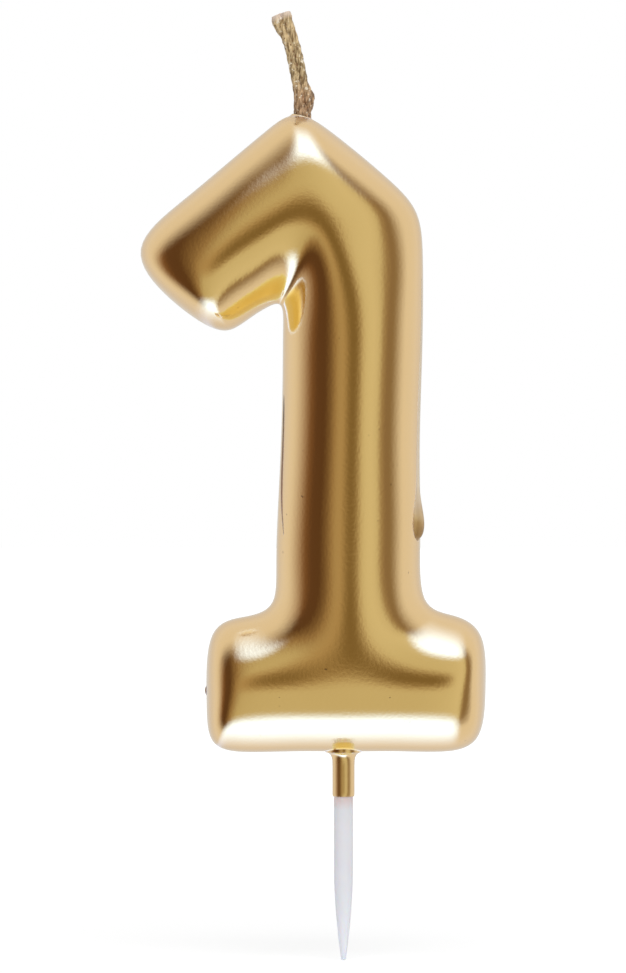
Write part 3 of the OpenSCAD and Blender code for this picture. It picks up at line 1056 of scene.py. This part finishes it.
def thick_lacquer(name, low, high, tints):
    """Lacquer that has dried thick and dull. Its tint changes between two heights."""
    thick, start = new_finish(name)
    place, height = where(start)
    blotch = noise(start, place, BLOTCH_SCALE, 3.0)
    share = (height - low * MM + (blotch - 0.5) * BLOTCH_REACH) / ((high - low) * MM)
    tint = start.node("ShaderNodeValToRGB", {"stops": tints}, {0: share})
    close(start, {"Base Color": tint, "Metallic": 0.3, "Roughness": 0.3 + 0.1 * blotch})
    return thick


def dress(piece, finish):
    piece.data.materials.clear()
    piece.data.materials.append(finish)


dress(film, gold_lacquer())
dress(run, thick_lacquer("run_lacquer", RUN[-1][0], DROP_TOP, RUN_TINTS))
dress(seam, thick_lacquer("seam_lacquer", SEAM[-1][0], SEAM[0][0], SEAM_TINTS))
dress(nib, seam.data.materials[0])
for piece in (run, seam, nib):
    combine(film, piece, "UNION")
bpy.data.objects.remove(number)
take(film)
bpy.ops.object.shade_smooth_by_angle(angle=JOIN_SHARP)
print("film finished with", len(film.data.polygons), "faces and", len(film.data.materials), "finishes")

# %% [markdown]
# Wax, plastic and cotton are quieter. The wax is cream and slightly cloudy. The pick is white with a
# cool cast, a little rosy just below the gold where the lacquer thins out, and whiter towards its
# point, which is painted light from the white table below. The cotton has soaked up lacquer: olive
# gold near its cut end, brown towards its foot, with dark specks in between and pale specks that are
# partly pale fibre and partly painted glints.

# %% Wax
WAX_TINTS = ((0.86, 0.80, 0.66, 1.0), (0.93, 0.89, 0.78, 1.0))
WAX_CLOUD = 300.0


def cloudy_wax():
    finish, start = new_finish("wax")
    place = start.node("ShaderNodeTexCoord", output="Object")
    cloud = noise(start, place, WAX_CLOUD, 4.0)
    close(start, {
        "Base Color": cloud.blend(*WAX_TINTS),
        "Roughness": 0.4 + 0.2 * cloud,
        "Subsurface Weight": 0.2,
        "Subsurface Scale": 1.0 * MM,
    })
    return finish


dress(wax, cloudy_wax())
print("wax dressed in", wax.data.materials[0].name)

# %% White plastic
PICK_TINTS = ((0.87, 0.865, 0.89, 1.0), (0.91, 0.905, 0.93, 1.0))
# Painted light: the pick is whiter towards its point, as if the white table below lit it more.
PICK_TIP_PAINTED_LIGHT = (0.97, 0.97, 0.99, 1.0)
PAINTED_TIP_LIGHT_EDGE = (-17 * MM, -8 * MM)
PICK_ROSY = (0.86, 0.72, 0.70, 1.0)
ROSY_EDGE = (-1.6 * MM, -0.2 * MM)
PICK_CLOUD = 500.0
PICK_GRAIN = 0.004 * MM


def pick_plastic():
    finish, start = new_finish("pick_plastic")
    place, height = where(start)
    cloud = noise(start, place, PICK_CLOUD, 3.0)
    # Whiter towards the point: painted light from the table below.
    bare = height.rise(*PAINTED_TIP_LIGHT_EDGE).blend(PICK_TIP_PAINTED_LIGHT, cloud.blend(*PICK_TINTS))
    close(start, {
        "Base Color": height.rise(*ROSY_EDGE).blend(bare, PICK_ROSY),
        "Roughness": 0.35 + 0.15 * cloud,
        "Normal": bump(start, PICK_GRAIN, cloud),
        "Subsurface Weight": 0.15,
        "Subsurface Scale": 0.5 * MM,
    })
    return finish


dress(pick, pick_plastic())
print("pick dressed in", pick.data.materials[0].name)

# %% Cotton
YARN_EDGE = (0.32, 0.68)
UPPER_TINTS = ((0.27, 0.17, 0.07, 1.0), (0.88, 0.66, 0.36, 1.0))
MIDDLE_TINTS = ((0.20, 0.12, 0.045, 1.0), (0.76, 0.57, 0.31, 1.0))
LOWER_TINTS = ((0.16, 0.08, 0.035, 1.0), (0.64, 0.41, 0.225, 1.0))
UPPER_EDGE = (82 * MM, 84 * MM)
LOWER_EDGE = (76.5 * MM, 79.5 * MM)
DARK_SPECK = (0.24, 0.11, 0.04, 1.0)
DARK_EDGE = (0.60, 0.72)
# Pale specks: partly pale fibre, partly painted glints.
PALE_FLECK_AND_PAINTED_GLINT = (0.86, 0.74, 0.55, 1.0)
PALE_FLECK_AND_GLINT_EDGE = (0.30, 0.40)
CUT_TINT = (0.86, 0.70, 0.58, 1.0)
CUT_EDGE = (-0.9 * MM, -0.1 * MM)
CUT_SHARE = 0.8
FIBRE_STRETCH = (1.0, 1.0, 0.22)
FIBRE_SCALE = 4200.0
FIBRE_TALL = 0.04 * MM
SPECK_SCALE = 2600.0


def lacquered_cotton():
    finish, start = new_finish("wick_cotton")
    place, height = where(start)
    long_way = start.node("ShaderNodeMapping", inputs={"Vector": place, "Scale": FIBRE_STRETCH})
    fibre = noise(start, long_way, FIBRE_SCALE, 3.0)
    speck = noise(start, place, SPECK_SCALE, 2.0)
    yarn = fibre.rise(*YARN_EDGE)
    upper = height.rise(*UPPER_EDGE).blend(yarn.blend(*MIDDLE_TINTS), yarn.blend(*UPPER_TINTS))
    dyed = height.rise(*LOWER_EDGE).blend(yarn.blend(*LOWER_TINTS), upper)
    dark = speck.rise(*DARK_EDGE).blend(dyed, DARK_SPECK)
    # Pale specks, partly pale fibre and partly painted glints.
    pale = (1 - speck.rise(*PALE_FLECK_AND_GLINT_EDGE)).blend(dark, PALE_FLECK_AND_PAINTED_GLINT)
    along = {0: place, 1: CUT_WAY}
    aslant = start.node("ShaderNodeVectorMath", {"operation": "DOT_PRODUCT"}, along, output="Value")
    near_cut = (aslant - CUT_PLACE.dot(CUT_WAY)).rise(*CUT_EDGE)
    close(start, {
        "Base Color": (CUT_SHARE * near_cut).blend(pale, CUT_TINT),
        "Metallic": 0.1,
        "Roughness": 0.42 + 0.2 * fibre,
        "Normal": bump(start, FIBRE_TALL, fibre),
    })
    return finish


soaked = lacquered_cotton()
for piece in cotton:
    dress(piece, soaked)
print("finishes:", sorted(finish.name for finish in bpy.data.materials))

# %% [markdown]
# Every piece takes the place of one solid of the model, which is hidden. Nothing on the candle moves,
# so all of them ride on its one body.

# %% Tie the pieces to the model
PIECES = [
    (film, "gold_coat", "gold_lacquer"),
    (wax, "wax_body", "wax"),
    (pick, "pick", "pick_plastic"),
]
PIECES += [(piece, node, "wick_cotton") for piece, node in zip(cotton, STRANDS)]
for piece, node, slot in PIECES:
    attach(piece, "root")
    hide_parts(node)
print(len(PIECES), "pieces ride on the candle's body")
